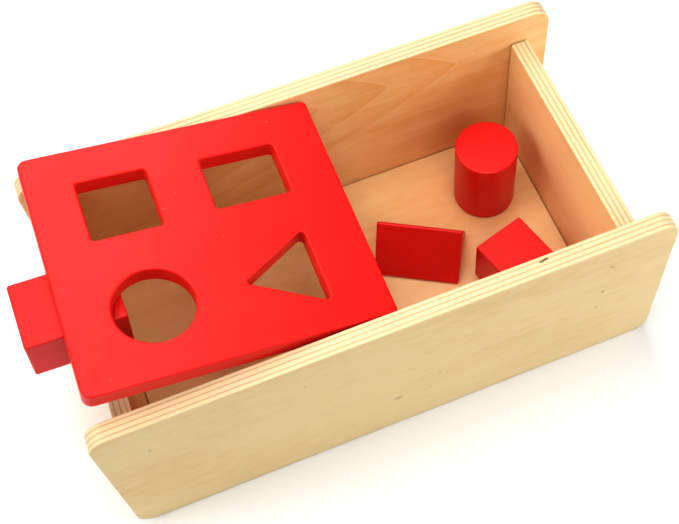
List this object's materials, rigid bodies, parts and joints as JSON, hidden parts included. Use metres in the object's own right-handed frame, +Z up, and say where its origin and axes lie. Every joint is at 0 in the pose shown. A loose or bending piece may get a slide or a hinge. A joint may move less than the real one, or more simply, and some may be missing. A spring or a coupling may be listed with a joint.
{
  "type": "shape sorter",
  "caption": "Flip-lid wooden shape sorter: open plywood box, red pivoting lid with square, oblong, round and triangular holes, and matching loose red blocks.",
  "frame": {"origin": "bottom centre of the whole at rest, on the table, the block that sticks out at the left end included", "axes": "+X along the box, away from the half that the lid covers; +Y across the box; +Z up"},
  "size_m": [0.3152, 0.1566, 0.1413],
  "materials": {
    "birch_plywood": "clear satin lacquer on birch plywood, ply lines showing on the edges",
    "red_paint": "satin red paint over wood",
    "beech": "bare turned wood",
    "pin_steel": "plain drawn pin"
  },
  "bodies": {
    "box": {"near_side_board": "birch_plywood", "far_side_board": "birch_plywood", "left_end_board": "birch_plywood", "right_end_board": "birch_plywood", "floor_board": "birch_plywood", "left_end_dowel_near_low": "beech", "left_end_dowel_near_high": "beech", "left_end_dowel_far_low": "beech", "left_end_dowel_far_high": "beech", "right_end_dowel_near_low": "beech", "right_end_dowel_near_high": "beech", "right_end_dowel_far_low": "beech", "right_end_dowel_far_high": "beech", "floor_dowel_near_left": "beech", "floor_dowel_near_middle": "beech", "floor_dowel_near_right": "beech", "floor_dowel_far_left": "beech", "floor_dowel_far_middle": "beech", "floor_dowel_far_right": "beech"},
    "lid": {"lid_panel": "red_paint", "near_pivot_pin": "pin_steel", "far_pivot_pin": "pin_steel"},
    "loose_oblong": {"oblong_block": "red_paint"},
    "loose_cylinder": {"cylinder_block": "red_paint"},
    "loose_square": {"square_block": "red_paint"},
    "loose_triangle": {"triangle_block": "red_paint"}
  },
  "joints": [
    {"name": "lid_flip", "type": "hinge", "parent": "box", "child": "lid", "pos_m": [0.00756, 0, 0.1085], "axis": [0, -1, 0], "range_deg": [-170.5, 0]},
    {"name": "oblong_pull", "type": "slide", "parent": "box", "child": "loose_oblong", "axis": [-0.9943, -0.0208, 0.1045], "range_m": [0, 0.06]},
    {"name": "cylinder_lift", "type": "slide", "parent": "box", "child": "loose_cylinder", "axis": [0, 0, 1], "range_m": [0, 0.12]},
    {"name": "square_lift", "type": "slide", "parent": "box", "child": "loose_square", "axis": [0, 0, 1], "range_m": [0, 0.12]},
    {"name": "triangle_lift", "type": "slide", "parent": "box", "child": "loose_triangle", "axis": [0, 0, 1], "range_m": [0, 0.12]}
  ]
}
